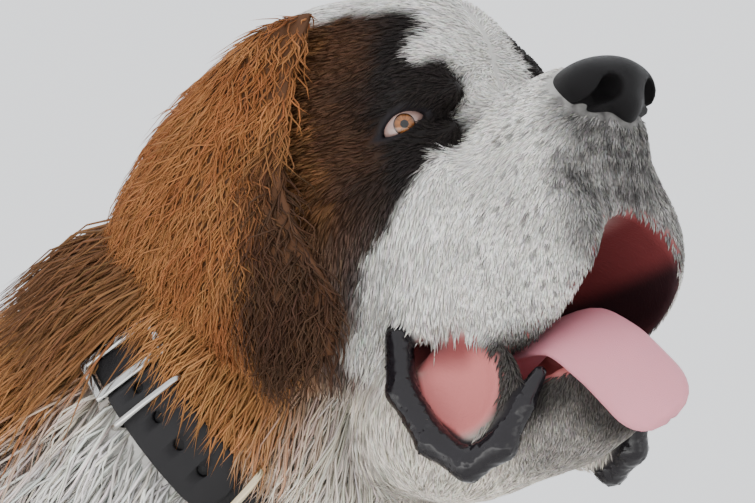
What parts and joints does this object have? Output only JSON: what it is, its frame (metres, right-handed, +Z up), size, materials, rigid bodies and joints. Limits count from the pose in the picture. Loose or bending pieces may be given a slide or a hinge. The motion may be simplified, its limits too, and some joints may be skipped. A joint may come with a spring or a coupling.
{
  "type": "saint bernard dog model",
  "caption": "Life-size still model of a long-haired Saint Bernard standing square, head raised and turned to its right, panting with its tongue out, wearing a wide leather collar.",
  "frame": {"origin": "middle of the whole model's outline, on the floor between the paws", "axes": "+X forwards, the way the body faces; +Y to the dog's left; +Z up"},
  "size_m": [1.3292, 0.4894, 1.001],
  "materials": {
    "face_coat": "short close hair, white blaze and muzzle with dark patches round the eyes",
    "white_coat": "white hair",
    "rust_coat": "long wavy red-brown hair with white chest and belly",
    "ear_coat": "wavy rust and blackish-brown hair",
    "nose_skin": "moist black leather of the nose",
    "eye_glass": "glossy, amber-brown iris",
    "tongue_flesh": "wet pale pink",
    "collar_leather": "worn black leather",
    "collar_steel": "worn steel",
    "collar_brass": "pale worn brass"
  },
  "bodies": {
    "root": {"head": "face_coat", "nose": "nose_skin", "eye_left": "eye_glass", "eye_right": "eye_glass", "jaw": "white_coat", "tongue": "tongue_flesh", "ear_left": "ear_coat", "ear_right": "ear_coat", "neck": "rust_coat", "collar_strap": "collar_leather", "collar_tongue": "collar_leather", "collar_keeper": "collar_steel", "collar_frame": "collar_steel", "collar_ring": "collar_brass", "torso": "rust_coat", "foreleg_left": "white_coat", "foreleg_right": "white_coat", "forepaw_left": "white_coat", "forepaw_right": "white_coat", "thigh_left": "rust_coat", "thigh_right": "rust_coat", "shank_left": "white_coat", "shank_right": "white_coat", "hindpaw_left": "white_coat", "hindpaw_right": "white_coat", "tail": "rust_coat"}
  },
  "joints": []
}
